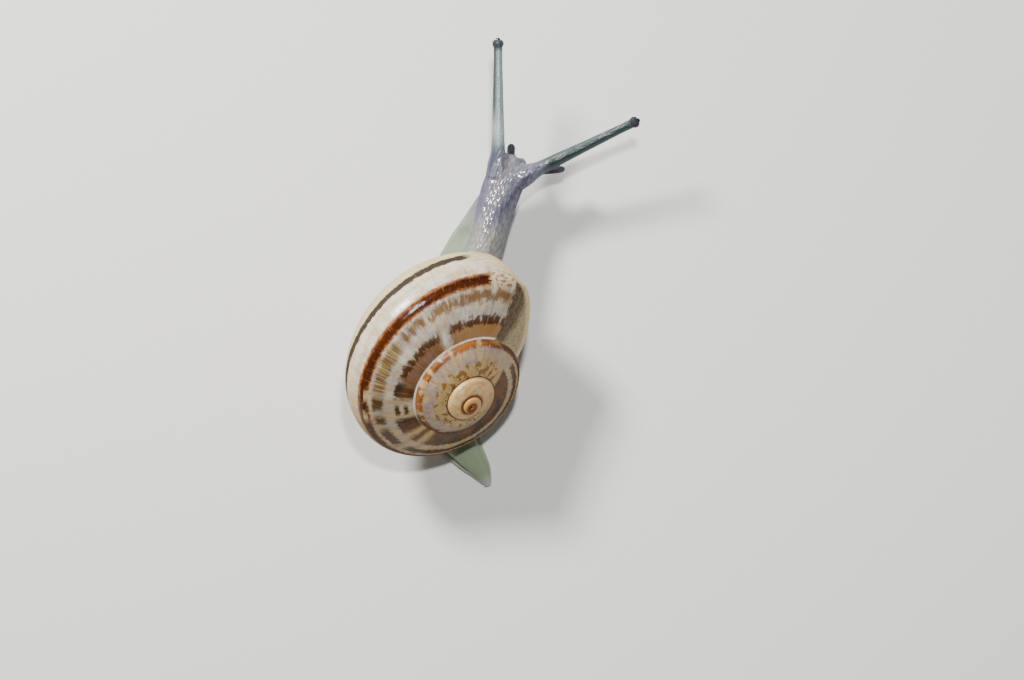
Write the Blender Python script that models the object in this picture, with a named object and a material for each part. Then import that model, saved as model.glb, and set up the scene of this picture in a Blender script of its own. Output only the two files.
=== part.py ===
"""A striped land snail, crawling with its neck and tentacles stretched out.

Still model at life size, in metres, +Z up. The sole lies on z = 0 round the origin, the head points
along +Y and the snail's right side is +X. The shell is one filled body, as the soft parts fill it in
life, and the soft body is parted by thin cuts where a person would name its parts.
"""

from math import cos, exp, pi, radians, sin

import bmesh
import bpy
from mathutils import Matrix, Vector

MM = 0.001
CUT = 0.06 * MM  # width of the thin cuts between neighbouring parts
SLIVER = 0.006 * MM  # points closer than this are one point

# Shell: a section that turns round the axis and grows by a constant share with each step.
SHELL_UNIT = 8.473 * MM  # the lengths below up to the lip are shares of this
WHORLS = 4.1
GROWTH = 0.0899  # natural logarithm of the growth for each radian of turn
EARLY_GROWTH = -0.0020  # the first whorls grow faster than the last
SECTION_OUT = 0.748  # centre of the section, from the axis
SECTION_DOWN = 0.826  # centre of the section, below the apex
OUTER_WIDTH = 0.290  # half-width of the section towards the rim
INNER_WIDTH = 0.734  # half-width towards the axis, which leaves a narrow umbilicus
SECTION_HEIGHT = 0.433
SECTION_LEAN = -0.5935  # radians, the outer side down
# The lip seen along the section: how many radians of turn each part of it lies behind.
LIP_INNER = 3.216  # girdle angle where the lip is furthest forward
LIP_START = -0.529
LIP_SLANT = 1.216
LIP_HOLLOW = 0.297
LIP_WALL = 0.28 * MM
MOUTH_DEPTH = 0.10  # radians of turn from the lip in to the mantle
COLLAR_SWELL = 0.05  # radians of turn that the mantle collar stands out of the mouth
COLLAR_GAP = 0.02  # radians of turn between the collar and the floor of the mouth
MOUTH_FACING = Vector((0.49, 0.19, -0.85))  # the way the mouth opens

# How the shell sits on the body.
APEX = Vector((0.782, -5.374, 9.0)) * MM
SPIRE_BEARING = radians(-53.74)  # the spire points back and to the right
SPIRE_LEAN = radians(51.40)  # from upright
MOUTH_TURN = radians(81.07)  # turn about the axis that brings the mouth over the neck

# Body stations from tail to snout, in millimetres: across, along, half-width of the sole,
# half-width of the back, height of the underside, height of the back, and how far the back
# stands to the right of the sole.
BODY = (
    (1.74, -9.98, 0.16, 0.12, 0.00, 0.34, 0.00),
    (1.60, -9.55, 0.44, 0.34, 0.00, 0.66, 0.00),
    (1.12, -8.70, 0.84, 0.66, 0.00, 1.02, 0.00),
    (0.26, -7.60, 1.26, 1.00, 0.00, 1.40, 0.00),
    (-0.55, -6.20, 1.70, 1.35, 0.00, 1.75, 0.00),
    (-1.12, -3.90, 2.10, 1.70, 0.00, 2.20, 0.00),
    (-1.30, -1.40, 2.35, 1.95, 0.00, 4.60, 0.00),
    (-1.12, 1.10, 2.45, 2.05, 0.00, 6.60, 0.20),
    (-0.60, 3.40, 2.38, 1.80, 0.00, 6.90, 0.65),
    (0.05, 5.40, 2.05, 1.38, 0.00, 6.20, 1.15),
    (0.86, 7.20, 1.88, 1.26, 0.00, 5.55, 0.96),
    (1.62, 8.75, 1.55, 1.38, 0.45, 5.15, 0.54),
    (2.44, 10.15, 1.26, 1.44, 1.70, 5.00, 0.12),
    (3.02, 11.25, 1.12, 1.40, 2.55, 4.95, 0.00),
    (3.46, 12.15, 0.88, 1.14, 3.05, 4.70, 0.00),
    (3.76, 12.70, 0.50, 0.70, 3.40, 4.36, 0.00),
)
FRINGE = 0.38  # height in millimetres of the thin fringe round the sole
STEPS = 3  # rings from one station to the next
# Stations, counted from the tail tip, where the body is parted.
TAIL_CUT = 3.9
REAR_CUT = 5.8
MIDDLE_CUT = 8.4
NECK_CUT = 9.45
HEAD_CUT = 11.6
FOOT_HEIGHT = 1.15 * MM  # the foot is parted from the body above it here

# Tentacles: root inside the head, tip, and a share by which all radii are thicker, in millimetres.
UPPER_TENTACLES = {
    "left": (Vector((2.46, 11.35, 4.20)), Vector((2.46, 20.54, 6.80)), 1.12),
    "right": (Vector((3.72, 11.10, 4.20)), Vector((12.20, 14.92, 6.40)), 1.14),
}
LOWER_TENTACLES = {
    "left": (Vector((3.30, 12.20, 3.60)), Vector((3.38, 13.74, 3.40)), 1.0),
    "right": (Vector((4.00, 11.75, 3.60)), Vector((7.12, 12.00, 3.20)), 1.0),
}
# Radii at shares of the length.
UPPER_RADII = ((0.0, 0.80), (0.10, 0.66), (0.18, 0.49), (0.32, 0.41), (0.55, 0.35), (0.80, 0.29), (0.9, 0.29))
LOWER_RADII = ((0.0, 0.34), (0.5, 0.31), (0.84, 0.30), (0.95, 0.22), (1.0, 0.10))
UPPER_CUTS = (0.17, 0.52, 0.88)  # shares of the length where a tentacle is parted
LOWER_CUTS = {"left": 0.53, "right": 0.36}
BULB_RADIUS = 0.37
EYE_RADIUS = 0.20
LIP_LOBES = (Vector((3.48, 12.54, 3.44)), Vector((4.02, 12.34, 3.44)))
LIP_LOBE_RADIUS = 0.42


def clear_scene():
    for old in list(bpy.data.objects):
        bpy.data.objects.remove(old, do_unlink=True)


def new_collection(name, helper=False):
    collection = bpy.data.collections.new(name)
    bpy.context.scene.collection.children.link(collection)
    collection.hide_render = helper
    return collection


def material(name, colour, roughness):
    made = bpy.data.materials.new(name)
    made.use_nodes = True
    principled = made.node_tree.nodes["Principled BSDF"]
    principled.inputs["Base Color"].default_value = (*colour, 1.0)
    principled.inputs["Roughness"].default_value = roughness
    principled.inputs["Metallic"].default_value = 0.0
    return made


def loft(name, rings):
    """A closed skin over rings of equally many points, with a fan of faces over each end."""
    mesh = bmesh.new()
    rows = [[mesh.verts.new(point) for point in ring] for ring in rings]
    count = len(rows[0])
    for row, after in zip(rows, rows[1:]):
        for i in range(count):
            j = (i + 1) % count
            mesh.faces.new((row[i], row[j], after[j], after[i]))
    for row in (rows[0], rows[-1]):
        middle = mesh.verts.new(sum((vert.co for vert in row), Vector()) / count)
        for i in range(count):
            mesh.faces.new((row[i], row[(i + 1) % count], middle))
    bmesh.ops.triangulate(mesh, faces=mesh.faces[:])
    bmesh.ops.recalc_face_normals(mesh, faces=mesh.faces[:])
    data = bpy.data.meshes.new(name)
    mesh.to_mesh(data)
    mesh.free()
    made = bpy.data.objects.new(name, data)
    helpers.objects.link(made)
    return made


def freeze(item):
    """Replaces the object's mesh by what its modifiers make of it, with slivers closed up."""
    graph = bpy.context.evaluated_depsgraph_get()
    data = bpy.data.meshes.new_from_object(item.evaluated_get(graph))
    mesh = bmesh.new()
    mesh.from_mesh(data)
    bmesh.ops.triangulate(mesh, faces=mesh.faces[:])
    bmesh.ops.remove_doubles(mesh, verts=mesh.verts[:], dist=SLIVER)
    bmesh.ops.dissolve_degenerate(mesh, edges=mesh.edges[:], dist=SLIVER)
    bmesh.ops.triangulate(mesh, faces=mesh.faces[:])
    mesh.to_mesh(data)
    mesh.free()
    item.modifiers.clear()
    item.data = data


def combine(item, other, operation, crosses_itself=False):
    step = item.modifiers.new(operation.lower(), "BOOLEAN")
    step.object = other
    step.operation = operation
    step.use_self = crosses_itself
    freeze(item)


def copy_of(item, name):
    made = bpy.data.objects.new(name, item.data.copy())
    made.matrix_world = item.matrix_world
    helpers.objects.link(made)
    return made


def finish(item, colour_of):
    """Puts a finished part in the snail's collection, smooth and in its own material."""
    helpers.objects.unlink(item)
    snail.objects.link(item)
    item.data.materials.clear()
    item.data.materials.append(material(item.name, *colour_of))
    item.data.shade_smooth()
    item.data.set_sharp_from_angle(angle=radians(40))


def read_along(table, share):
    """Straight interpolation in pairs of (share, value)."""
    for (low, first), (high, second) in zip(table, table[1:]):
        if share <= high:
            return first + (second - first) * (share - low) / (high - low)
    return table[-1][1]


# ---- shell ----


def growth_line(girdle):
    """How far, in radians of turn, the growth lines and the lip lie behind at this girdle angle."""
    turned = girdle - LIP_INNER
    return LIP_START + LIP_SLANT * (1 - cos(turned)) / 2 + LIP_HOLLOW * sin(turned) ** 2


def whorl_ring(turn, grow=0.0, points=22):
    """The shell's section at an angle of turn (0 at the lip, less towards the apex)."""
    ring = []
    for i in range(points):
        girdle = 2 * pi * i / points
        back = turn - growth_line(girdle)
        size = exp(GROWTH * back + EARLY_GROWTH * back * back)
        width = OUTER_WIDTH if cos(girdle) > 0 else INNER_WIDTH
        across = (width * size + grow / SHELL_UNIT) * cos(girdle)
        up = (SECTION_HEIGHT * size + grow / SHELL_UNIT) * sin(girdle)
        out = SECTION_OUT * size + across * cos(SECTION_LEAN) - up * sin(SECTION_LEAN)
        high = -SECTION_DOWN * size + across * sin(SECTION_LEAN) + up * cos(SECTION_LEAN)
        local = Vector((out * cos(back), -out * sin(back), high)) * SHELL_UNIT
        ring.append(SHELL_POSE @ local)
    return ring


def spiral(name, whorls, grow=0.0):
    """The filled shell with its shallow mouth; grow widens it all round for use as a cutter."""
    nudge = grow / SHELL_UNIT
    turns = [radians(-360 * whorls + step) for step in range(0, int(360 * whorls), 15)]
    rings = [whorl_ring(turn, grow) for turn in turns if turn < radians(-5)]
    rings.append(whorl_ring(nudge, grow))
    rings.append(whorl_ring(nudge, -LIP_WALL - grow))
    rings.append(whorl_ring(nudge - MOUTH_DEPTH, -LIP_WALL - grow))
    tube = loft(name, rings)
    columella = loft(name + "_columella", columella_rings(nudge))
    combine(tube, columella, "UNION", crosses_itself=True)
    bpy.data.objects.remove(columella)
    return tube


def columella_rings(nudge):
    """The pillar round the axis, which fills the spiral gap between the whorls."""
    rings = []
    for depth, radius in ((0.05, 0.02), (0.12, 0.10), (0.30, 0.14), (0.62, 0.15), (0.74, 0.08)):
        ring = []
        for i in range(16):
            angle = 2 * pi * i / 16
            reach = radius + nudge
            local = Vector((reach * cos(angle), reach * sin(angle), -depth)) * SHELL_UNIT
            ring.append(SHELL_POSE @ local)
        rings.append(ring)
    return rings


def mantle_plug(name, inset, floor, lift):
    """The mantle collar before it is cut to the shell: it fills the mouth and swells out of it."""
    rings = [whorl_ring(floor, -inset)]
    for turn, narrower in ((0.0, 0.0), (COLLAR_SWELL * 0.6, 0.16 * MM), (COLLAR_SWELL, 0.55 * MM)):
        rings.append([point + MOUTH_FACING * lift for point in whorl_ring(turn, -inset - narrower)])
    return loft(name, rings)


# ---- soft body ----


def station(place):
    """The body's measures at a station number, on a smooth curve through the stations."""
    low = min(int(place), len(BODY) - 2)
    share = place - low
    before, here, there, after = (BODY[min(max(low + k, 0), len(BODY) - 1)] for k in (-1, 0, 1, 2))
    values = []
    for a, b, c, d in zip(before, here, there, after):
        curve = 2 * b + (c - a) * share + (2 * a - 5 * b + 4 * c - d) * share**2
        values.append((curve + (3 * b - a - 3 * c + d) * share**3) / 2)
    values[4] = max(values[4], 0.0)
    return values


def heading(place):
    """Unit vector along the body, level with the floor."""
    ahead = station(min(place + 0.05, len(BODY) - 1.001))
    behind = station(max(place - 0.05, 0.0))
    return Vector((ahead[0] - behind[0], ahead[1] - behind[1], 0)).normalized()


def body_ring(place):
    """Outline across the body: a flat sole with a thin fringe, and a rounded back above."""
    x, y, sole, back, under, top, beside = station(place)
    height = top - under
    fringe = min(FRINGE, 0.45 * height)
    if under > 0:
        fringe = max(fringe, 0.25 * height)
    middle = fringe + 0.36 * (height - fringe)
    half = [(0.5 * sole, 0.0), (0.94 * sole, 0.0), (sole, 0.4 * fringe), (0.97 * sole, fringe)]
    for degrees in (-38, -12, 14, 38, 60, 76):
        angle = radians(degrees)
        lift = (height - middle) * sin(angle) if angle > 0 else (middle - fringe) * sin(angle)
        half.append((back * cos(angle) ** 0.8, middle + lift))
    side = Vector((heading(place).y, -heading(place).x, 0))
    spine = Vector((x, y, under))
    up = Vector((0, 0, 1))

    def at(across, high):
        return spine + side * (across + beside * min(high / middle, 1.0)) + up * high

    right = [at(across, high) for across, high in half]
    left = [at(-across, high) for across, high in reversed(half)]
    ring = [spine, *right, at(0.0, height), *left]
    return [point * MM for point in ring]


def body_loft():
    count = (len(BODY) - 1) * STEPS
    return loft("soft_body", [body_ring(i / STEPS) for i in range(count)] + [body_ring(len(BODY) - 1.001)])


def stretch(start, end, low, high):
    """A block that holds the body between two cuts across it and between two heights."""
    block = bmesh.new()
    for place, trim in ((start, 0.5), (end, -0.5)):
        inside = min(max(place, 0.0), len(BODY) - 1.001)
        ahead = heading(inside)
        values = station(inside)
        centre = Vector((values[0], values[1], 0)) * MM
        centre += ahead * (place - inside) * 3 * MM + ahead * trim * CUT
        for side in (-7 * MM, 7 * MM):
            for height in (low, high):
                block.verts.new(centre + Vector((ahead.y, -ahead.x, 0)) * side + Vector((0, 0, height)))
    bmesh.ops.convex_hull(block, input=block.verts[:])
    bmesh.ops.recalc_face_normals(block, faces=block.faces[:])
    data = bpy.data.meshes.new("stretch")
    block.to_mesh(data)
    block.free()
    made = bpy.data.objects.new("stretch", data)
    helpers.objects.link(made)
    return made


def tube(name, start, end, radii, thicker, low, high):
    """A round, tapering length between two shares of the way from start to end."""
    shares = [low] + [share for share, _ in radii if low < share < high] + [high]
    curve = bpy.data.curves.new(name, "CURVE")
    curve.dimensions = "3D"
    curve.bevel_depth = MM
    curve.bevel_resolution = 3
    curve.use_fill_caps = True
    spline = curve.splines.new("POLY")
    spline.points.add(len(shares) - 1)
    for point, share in zip(spline.points, shares):
        point.co = (*((start + (end - start) * share) * MM), 1.0)
        point.radius = read_along(radii, share) * thicker
    drawn = bpy.data.objects.new(name + "_curve", curve)
    helpers.objects.link(drawn)
    graph = bpy.context.evaluated_depsgraph_get()
    data = bpy.data.meshes.new_from_object(drawn.evaluated_get(graph))
    bpy.data.objects.remove(drawn)
    weld = bmesh.new()
    weld.from_mesh(data)
    bmesh.ops.remove_doubles(weld, verts=weld.verts[:], dist=0.002 * MM)
    bmesh.ops.triangulate(weld, faces=weld.faces[:])
    bmesh.ops.recalc_face_normals(weld, faces=weld.faces[:])
    weld.to_mesh(data)
    weld.free()
    made = bpy.data.objects.new(name, data)
    helpers.objects.link(made)
    return made


def ball(name, centre, radius, segments=16, rings=10):
    mesh = bmesh.new()
    place = Matrix.Translation(centre * MM)
    bmesh.ops.create_uvsphere(mesh, u_segments=segments, v_segments=rings, radius=radius * MM, matrix=place)
    data = bpy.data.meshes.new(name)
    mesh.to_mesh(data)
    mesh.free()
    made = bpy.data.objects.new(name, data)
    helpers.objects.link(made)
    return made


def upper_profile(length):
    """Radii along an upper tentacle: the taper, then the round bulb that carries the eye."""
    radii = list(UPPER_RADII)
    for degrees in (-40, -20, 0, 20, 40, 58, 74):
        angle = radians(degrees)
        radii.append((1 - BULB_RADIUS * (1 - sin(angle)) / length, BULB_RADIUS * cos(angle)))
    return radii


def add_root(head_to, limb, radii, share):
    """Joins the stub of a tentacle to the body, up to the cut where its own lengths begin."""
    start, end, thicker = limb
    stub = tube("stub", start, end, radii, thicker, 0.0, share - half_cut(limb))
    combine(head_to, stub, "UNION")
    bpy.data.objects.remove(stub)


def half_cut(limb):
    return 0.5 * CUT / MM / (limb[1] - limb[0]).length


def make_upper_tentacle(side):
    """Two lengths and the bulb, with the eye let into its end."""
    limb = UPPER_TENTACLES[side]
    start, end, thicker = limb
    radii = upper_profile((end - start).length)
    eye_at = end - (end - start).normalized() * (EYE_RADIUS * 0.8)
    trim = half_cut(limb)
    first, second, third = UPPER_CUTS
    limits = {"lower": (first, second), "upper": (second, third), "tip": (third, radii[-1][0] + trim)}
    for label, (low, high) in limits.items():
        piece = tube(f"tentacle_{side}_{label}", start, end, radii, thicker, low + trim, high - trim)
        if label == "tip":
            socket = ball("socket", eye_at, EYE_RADIUS + CUT / MM)
            combine(piece, socket, "DIFFERENCE")
            bpy.data.objects.remove(socket)
        finish(piece, SLATE)
    finish(ball("eye_" + side, eye_at, EYE_RADIUS), EYE_BLACK)


def make_lower_tentacle(side):
    limb = LOWER_TENTACLES[side]
    start, end, thicker = limb
    low = LOWER_CUTS[side] + half_cut(limb)
    finish(tube("feeler_" + side, start, end, LOWER_RADII, thicker, low, 1.0), SLATE)


# ---- build ----

clear_scene()
snail = new_collection("striped_snail")
helpers = new_collection("helpers", helper=True)

SHELL_POSE = (
    Matrix.Translation(APEX)
    @ Matrix.Rotation(SPIRE_BEARING, 4, "Z")
    @ Matrix.Rotation(SPIRE_LEAN, 4, "Y")
    @ Matrix.Rotation(MOUTH_TURN, 4, "Z")
)
CREAM = ((0.62, 0.50, 0.36), 0.32)
SLATE = ((0.27, 0.28, 0.32), 0.38)
PALE_FLESH = ((0.42, 0.40, 0.36), 0.38)
EYE_BLACK = ((0.01, 0.01, 0.012), 0.08)

shell = spiral("shell", WHORLS)
shell_cutter = spiral("shell_cutter", 1.8, CUT)

collar = mantle_plug("mantle_collar", LIP_WALL + 2 * CUT, COLLAR_GAP - MOUTH_DEPTH, 0.0)
combine(collar, shell_cutter, "DIFFERENCE")
collar_cutter = mantle_plug("collar_cutter", LIP_WALL - CUT, -COLLAR_GAP - MOUTH_DEPTH, 4 * CUT)

body = body_loft()
for lobe in LIP_LOBES:
    combine(body, ball("lobe", lobe, LIP_LOBE_RADIUS), "UNION")
for side_name in ("left", "right"):
    add_root(body, LOWER_TENTACLES[side_name], LOWER_RADII, LOWER_CUTS[side_name])
    add_root(body, UPPER_TENTACLES[side_name], UPPER_RADII, UPPER_CUTS[0])
combine(body, shell_cutter, "DIFFERENCE")
combine(body, collar_cutter, "DIFFERENCE")

END = len(BODY) + 2.0
LOW = -1 * MM
TALL = 20 * MM
UNDER = FOOT_HEIGHT - CUT / 2
OVER = FOOT_HEIGHT + CUT / 2
STRETCHES = {
    "tail": (-2.0, TAIL_CUT, LOW, TALL),
    "foot_rear": (TAIL_CUT, REAR_CUT, LOW, UNDER),
    "back": (TAIL_CUT, REAR_CUT, OVER, TALL),
    "foot_middle": (REAR_CUT, MIDDLE_CUT, LOW, UNDER),
    "trunk": (REAR_CUT, NECK_CUT, OVER, TALL),
    "foot_front": (MIDDLE_CUT, HEAD_CUT, LOW, UNDER),
    "neck": (NECK_CUT, HEAD_CUT, OVER, TALL),
    "head": (HEAD_CUT, END, LOW, TALL),
}
pieces = {}
for part_name, limits in STRETCHES.items():
    pieces[part_name] = copy_of(body, part_name)
    combine(pieces[part_name], stretch(*limits), "INTERSECT")

for part_name, piece in pieces.items():
    finish(piece, PALE_FLESH if "foot" in part_name or part_name == "tail" else SLATE)
finish(collar, PALE_FLESH)
finish(shell, CREAM)
for side_name in ("left", "right"):
    make_upper_tentacle(side_name)
    make_lower_tentacle(side_name)
for leftover in list(helpers.objects):
    bpy.data.objects.remove(leftover)
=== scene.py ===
"""A striped land snail crawling with its neck and tentacles stretched out, at life size."""

from math import cos, pi, radians, sin

import bmesh
import bpy
import numpy as np
from mathutils import Matrix, Vector
from mathutils.bvhtree import BVHTree


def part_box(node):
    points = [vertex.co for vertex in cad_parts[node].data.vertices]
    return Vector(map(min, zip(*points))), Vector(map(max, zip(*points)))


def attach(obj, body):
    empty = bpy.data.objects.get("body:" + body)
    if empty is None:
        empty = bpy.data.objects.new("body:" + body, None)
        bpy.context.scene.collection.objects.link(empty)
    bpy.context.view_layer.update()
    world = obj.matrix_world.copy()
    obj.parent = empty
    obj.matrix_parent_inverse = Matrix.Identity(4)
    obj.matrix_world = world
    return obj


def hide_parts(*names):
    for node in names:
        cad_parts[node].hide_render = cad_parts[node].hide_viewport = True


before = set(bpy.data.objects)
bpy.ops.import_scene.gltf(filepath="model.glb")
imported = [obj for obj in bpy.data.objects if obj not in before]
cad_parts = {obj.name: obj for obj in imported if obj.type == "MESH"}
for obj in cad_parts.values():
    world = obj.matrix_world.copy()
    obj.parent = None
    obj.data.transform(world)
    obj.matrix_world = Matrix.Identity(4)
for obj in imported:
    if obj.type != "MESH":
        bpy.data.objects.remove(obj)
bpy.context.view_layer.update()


# ---- Shell: the coiled tube ----
# A land snail's shell: one thin chalky tube that coils to the right round a low spire and widens by
# about the same share with each turn. Each whorl is laid onto the one before it, and their meeting
# line is the seam. The tube is open at the mouth, where the soft body comes out.

MM = 0.001
GROWTH = 0.0899
EARLY_GROWTH = -0.0020
SEAM_AT_LIP = 2.246
SEAM_SCALE = 5.4


def maths_in(tree):
    """Gives a function that adds one Math node; numbers and sockets both go in."""

    def maths(operation, *terms):
        node = tree.nodes.new("ShaderNodeMath")
        node.operation = operation
        for place, term in zip(node.inputs, terms):
            if isinstance(term, (int, float)):
                place.default_value = term
            else:
                tree.links.new(term, place)
        return node.outputs[0]

    return maths


def total(maths, *terms):
    """The sum of sockets and numbers."""
    result = terms[0]
    for term in terms[1:]:
        result = maths("ADD", result, term)
    return result


def product(maths, *terms):
    """The product of sockets and numbers."""
    result = terms[0]
    for term in terms[1:]:
        result = maths("MULTIPLY", result, term)
    return result


def shell_tree():
    """Geometry Nodes that wind a grid, rows along the tube and points round it, into the shell."""
    tree = bpy.data.node_groups.new("wind_shell", "GeometryNodeTree")
    tree.interface.new_socket("Shell", in_out="OUTPUT", socket_type="NodeSocketGeometry")
    sizes = {
        "Rows": 800,
        "Points Round": 112,
        "Outer Rows": 752,
        "Lip Rows": 10,
        "Unit": 8.473 * MM,
        "Whorls": 4.1,
        "Growth": GROWTH,
        "Early Growth": EARLY_GROWTH,
        "Section Out": 0.748,
        "Section Down": 0.826,
        "Outer Width": 0.290,
        "Inner Width": 0.734,
        "Section Height": 0.433,
        "Section Lean": -0.5935,
        "Lip Inner": 3.216,
        "Lip Start": -0.529,
        "Lip Slant": 1.216,
        "Lip Hollow": 0.297,
        "Wall": 0.24 * MM,
        "Mouth Depth": 1.5,
        "Relief": 0.016 * MM,
    }
    for name, size in sizes.items():
        kind = "NodeSocketInt" if isinstance(size, int) else "NodeSocketFloat"
        tree.interface.new_socket(name, in_out="INPUT", socket_type=kind).default_value = size
    tree.interface.new_socket("Material", in_out="INPUT", socket_type="NodeSocketMaterial")
    given = tree.nodes.new("NodeGroupInput").outputs
    maths = maths_in(tree)
    link = tree.links.new

    grid = tree.nodes.new("GeometryNodeMeshGrid")
    grid.inputs["Size X"].default_value = 1.0
    grid.inputs["Size Y"].default_value = 1.0
    link(given["Rows"], grid.inputs["Vertices X"])
    link(given["Points Round"], grid.inputs["Vertices Y"])
    place = tree.nodes.new("ShaderNodeSeparateXYZ")
    link(tree.nodes.new("GeometryNodeInputPosition").outputs[0], place.inputs[0])
    last_row = maths("SUBTRACT", given["Rows"], 1)
    row = maths("MULTIPLY", maths("ADD", place.outputs["X"], 0.5), last_row)

    # The girdle is the angle round the tube. Its points stand closer together on the outer side.
    crowding = 0.3
    even = maths("MULTIPLY", place.outputs["Y"], 2 * pi)
    girdle = maths("SUBTRACT", even, product(maths, maths("SINE", even), crowding))

    def stage_share(first, count):
        """0 before a stage of rows, 1 after it, even between."""
        passed = maths("DIVIDE", maths("SUBTRACT", row, first), count)
        return maths("MINIMUM", maths("MAXIMUM", passed, 0), 1)

    # The rows run down the outer face, round the lip, and back along the inner face.
    outer = stage_share(0, given["Outer Rows"])
    lip = stage_share(given["Outer Rows"], given["Lip Rows"])
    inner_first = maths("ADD", given["Outer Rows"], given["Lip Rows"])
    inner = stage_share(inner_first, maths("SUBTRACT", last_row, inner_first))

    # Rows stand closer together where the tube is narrow: the turn goes with a logarithm.
    narrow = 0.076
    spread = maths("ADD", narrow, maths("MULTIPLY", outer, 1 - narrow))
    turn_back = maths("DIVIDE", maths("LOGARITHM", spread, np.e), -np.log(narrow))
    to_lip = product(maths, turn_back, given["Whorls"], 2 * pi)
    wall = maths("DIVIDE", given["Wall"], given["Unit"])
    round_lip = maths("MULTIPLY", lip, pi)
    rounding = product(maths, maths("SINE", round_lip), wall, 0.5)
    inset = product(maths, maths("SUBTRACT", 1, maths("COSINE", round_lip)), wall, 0.5)
    to_lip = maths("SUBTRACT", maths("ADD", to_lip, rounding), maths("MULTIPLY", inner, given["Mouth Depth"]))

    # The lip slants: it lies further back along the coil at its inner corner.
    turned = maths("SUBTRACT", girdle, given["Lip Inner"])
    sweep = product(maths, maths("SUBTRACT", 1, maths("COSINE", turned)), given["Lip Slant"], 0.5)
    hollow = maths("MULTIPLY", maths("POWER", maths("SINE", turned), 2), given["Lip Hollow"])
    behind = total(maths, given["Lip Start"], sweep, hollow)
    behind = maths("MULTIPLY", behind, maths("SUBTRACT", 1, inner))
    # The first row has one turn all round, so that it closes in a point.
    tip = maths("ADD", given["Lip Start"], maths("MULTIPLY", given["Lip Slant"], 0.5))
    behind = maths("ADD", tip, product(maths, maths("SUBTRACT", behind, tip), maths("MINIMUM", row, 1)))
    turn = maths("SUBTRACT", to_lip, behind)
    rate = maths("ADD", given["Growth"], maths("MULTIPLY", turn, given["Early Growth"]))
    size = maths("EXPONENT", maths("MULTIPLY", turn, rate))

    # Growth ridges, strongest on the outer side and gone where the tube is hidden.
    ridges_per_radian = 22
    breaks_round = 0.9
    shown = maths("MULTIPLY", maths("ADD", maths("COSINE", girdle), 1), 0.5)
    across_growth = tree.nodes.new("ShaderNodeCombineXYZ")
    link(maths("MULTIPLY", turn, ridges_per_radian), across_growth.inputs["X"])
    link(maths("MULTIPLY", girdle, breaks_round), across_growth.inputs["Y"])
    ridges = tree.nodes.new("ShaderNodeTexNoise")
    ridges.inputs["Scale"].default_value = 1.0
    ridges.inputs["Detail"].default_value = 3.0
    link(across_growth.outputs[0], ridges.inputs["Vector"])
    ridge = product(maths, maths("SUBTRACT", ridges.outputs[0], 0.5), shown, given["Relief"])
    ridge = product(maths, ridge, 2, maths("SUBTRACT", 1, lip))
    lift = maths("DIVIDE", ridge, given["Unit"])

    # The tube closes to a point at the apex and again deep inside the mouth.
    tip_rows = 4
    first_rows = maths("MINIMUM", maths("DIVIDE", row, tip_rows), 1)
    from_end = maths("MINIMUM", maths("SUBTRACT", last_row, row), 1)
    closing = maths("MULTIPLY", maths("POWER", first_rows, 0.5), from_end)

    def half_width(width):
        return maths("MULTIPLY", maths("SUBTRACT", maths("ADD", width, lift), inset), closing)

    # The section is an egg: short on its outer side, long on its inner side, and leaning.
    blend = tree.nodes.new("ShaderNodeMapRange")
    blend.interpolation_type = "SMOOTHSTEP"
    blend.inputs["From Min"].default_value = -0.25
    blend.inputs["From Max"].default_value = 0.25
    link(maths("COSINE", girdle), blend.inputs["Value"])
    is_outer = blend.outputs[0]
    reach = maths("SUBTRACT", given["Outer Width"], given["Inner Width"])
    width = maths("ADD", given["Inner Width"], maths("MULTIPLY", is_outer, reach))
    x = maths("MULTIPLY", half_width(width), maths("COSINE", girdle))
    y = maths("MULTIPLY", half_width(given["Section Height"]), maths("SINE", girdle))
    lean_cos = maths("COSINE", given["Section Lean"])
    lean_sin = maths("SINE", given["Section Lean"])
    out = total(maths, given["Section Out"], product(maths, x, lean_cos), product(maths, y, lean_sin, -1))
    down = maths("MULTIPLY", given["Section Down"], -1)
    up = total(maths, down, product(maths, x, lean_sin), product(maths, y, lean_cos))
    scale = maths("MULTIPLY", size, given["Unit"])
    spot = tree.nodes.new("ShaderNodeCombineXYZ")
    link(product(maths, out, scale, maths("COSINE", turn)), spot.inputs["X"])
    link(product(maths, out, scale, maths("SINE", turn), -1), spot.inputs["Y"])
    link(maths("MULTIPLY", up, scale), spot.inputs["Z"])

    mesh = grid.outputs["Mesh"]
    inside = maths("MAXIMUM", maths("GREATER_THAN", inner, 0), lip)
    for name, reading in {"turn": turn, "girdle": girdle, "to_lip": to_lip, "inside": inside}.items():
        store = tree.nodes.new("GeometryNodeStoreNamedAttribute")
        store.data_type = "FLOAT"
        store.domain = "POINT"
        store.inputs["Name"].default_value = name
        link(mesh, store.inputs["Geometry"])
        link(reading, store.inputs["Value"])
        mesh = store.outputs[0]
    move = tree.nodes.new("GeometryNodeSetPosition")
    link(mesh, move.inputs["Geometry"])
    link(spot.outputs[0], move.inputs["Position"])
    weld = tree.nodes.new("GeometryNodeMergeByDistance")
    weld.inputs["Distance"].default_value = 0.0002 * MM
    link(move.outputs[0], weld.inputs["Geometry"])
    smooth = tree.nodes.new("GeometryNodeSetShadeSmooth")
    link(weld.outputs[0], smooth.inputs["Geometry"])
    realize = tree.nodes.new("GeometryNodeRealizeInstances")
    link(smooth.outputs[0], realize.inputs[0])
    paint = tree.nodes.new("GeometryNodeSetMaterial")
    link(realize.outputs[0], paint.inputs["Geometry"])
    link(given["Material"], paint.inputs["Material"])
    link(paint.outputs[0], tree.nodes.new("NodeGroupOutput").inputs["Shell"])
    return tree


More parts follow.
